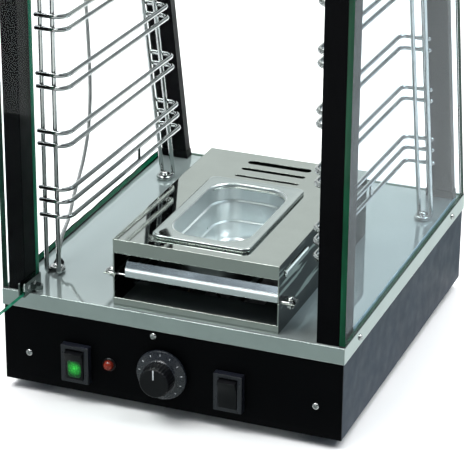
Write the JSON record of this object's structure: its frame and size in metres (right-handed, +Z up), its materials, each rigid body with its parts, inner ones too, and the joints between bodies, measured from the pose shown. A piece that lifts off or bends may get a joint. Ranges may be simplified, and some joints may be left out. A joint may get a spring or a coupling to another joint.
{
  "type": "hot food display case",
  "caption": "Counter-top heated display case: glass sides, hinged glass door, wire racks and a humidifier box with a lift-out water pan over a black control base.",
  "frame": {"origin": "centre of the flat underside of the base's bottom plate; the rubber feet reach 12 mm lower", "axes": "+Z up, -Y towards the service side with the door and controls, +Y towards the leaning customer side, +X to the server's right"},
  "size_m": [0.3854, 0.731, 0.587],
  "materials": {
    "black_steel": "satin black powder coat",
    "polished_steel": "mirror polished stainless steel",
    "pan_steel": "satin bright stainless steel",
    "chrome_wire": "bright chrome plate",
    "bright_fastener": "bright plated",
    "handle_steel": "polished folded strip",
    "door_knob_chrome": "bright chrome plate",
    "zinc_steel": "dull zinc plate",
    "element_steel": "heat-tinted steel sheath",
    "clear_glass": "clear float glass with green edges",
    "lamp_glass": "frosted lamp tube",
    "black_rubber": "matte black",
    "black_plastic": "fine grained black",
    "green_lens": "translucent green, lit",
    "red_lens": "translucent red, lit",
    "cream_plastic": "heat-resisting moulding",
    "braided_sleeve": "woven metal sleeve"
  },
  "bodies": {
    "case": {"base_shell": "black_steel", "control_panel": "black_steel", "jamb_left": "black_steel", "jamb_right": "black_steel", "post_left": "black_steel", "post_right": "black_steel", "roof_shell": "black_steel", "deck_tray": "polished_steel", "roof_base_plate": "polished_steel", "lamp_holder": "polished_steel", "rack_left": "chrome_wire", "rack_right": "chrome_wire", "panel_screw_left": "bright_fastener", "panel_screw_top": "bright_fastener", "panel_screw_right": "bright_fastener", "deck_screw_left": "bright_fastener", "deck_screw_right": "bright_fastener", "rack_screw_front_left": "bright_fastener", "rack_screw_rear_left": "bright_fastener", "rack_screw_front_right": "bright_fastener", "rack_screw_rear_right": "bright_fastener", "pivot_pin_lower": "bright_fastener", "pivot_pin_upper": "bright_fastener", "bottom_plate": "zinc_steel", "heater_bracket": "zinc_steel", "thermostat": "zinc_steel", "heating_element": "element_steel", "side_glass_left": "clear_glass", "side_glass_right": "clear_glass", "customer_glass": "clear_glass", "lamp_glass_cover": "clear_glass", "lamp_tube": "lamp_glass", "foot_front_left": "black_rubber", "foot_front_right": "black_rubber", "foot_rear_left": "black_rubber", "foot_rear_right": "black_rubber", "glass_seal_left": "black_rubber", "glass_seal_right": "black_rubber", "heat_switch_body": "black_plastic", "light_switch_body": "black_plastic", "power_inlet": "black_plastic", "lead_gland": "black_plastic", "door_magnet": "black_plastic", "pilot_lamp": "red_lens", "terminal_block": "cream_plastic", "lamp_lead": "braided_sleeve"},
    "door": {"door_glass": "clear_glass", "door_clamp_lower": "handle_steel", "door_clamp_upper": "handle_steel", "door_handle": "door_knob_chrome", "door_striker": "handle_steel"},
    "heat_switch": {"heat_rocker": "green_lens"},
    "light_switch": {"light_rocker": "black_plastic"},
    "knob": {"thermostat_knob": "black_plastic"},
    "humidifier": {"humidifier_box": "polished_steel", "humidifier_handle": "handle_steel", "handle_screw_left": "bright_fastener", "handle_screw_right": "bright_fastener"},
    "pan": {"water_pan": "pan_steel"}
  },
  "joints": [
    {"name": "door_hinge", "type": "hinge", "parent": "case", "child": "door", "pos_m": [-0.1508, -0.2068, 0.32], "axis": [0, 0, 1], "range_deg": [-18, 92]},
    {"name": "heat_rocker_pivot", "type": "hinge", "parent": "case", "child": "heat_switch", "pos_m": [-0.1041, -0.2175, 0.0344], "axis": [1, 0, 0], "range_deg": [-16, 0]},
    {"name": "light_rocker_pivot", "type": "hinge", "parent": "case", "child": "light_switch", "pos_m": [0.0677, -0.2175, 0.0344], "axis": [1, 0, 0], "range_deg": [-16, 0]},
    {"name": "thermostat_turn", "type": "hinge", "parent": "case", "child": "knob", "pos_m": [-0.0064, -0.2135, 0.0404], "axis": [0, -1, 0], "range_deg": [0, 270]},
    {"name": "humidifier_slide", "type": "slide", "parent": "case", "child": "humidifier", "axis": [0, 1, 0], "range_m": [-0.15, 0]},
    {"name": "pan_lift", "type": "slide", "parent": "humidifier", "child": "pan", "axis": [0, 0, 1], "range_m": [0, 0.1]}
  ]
}
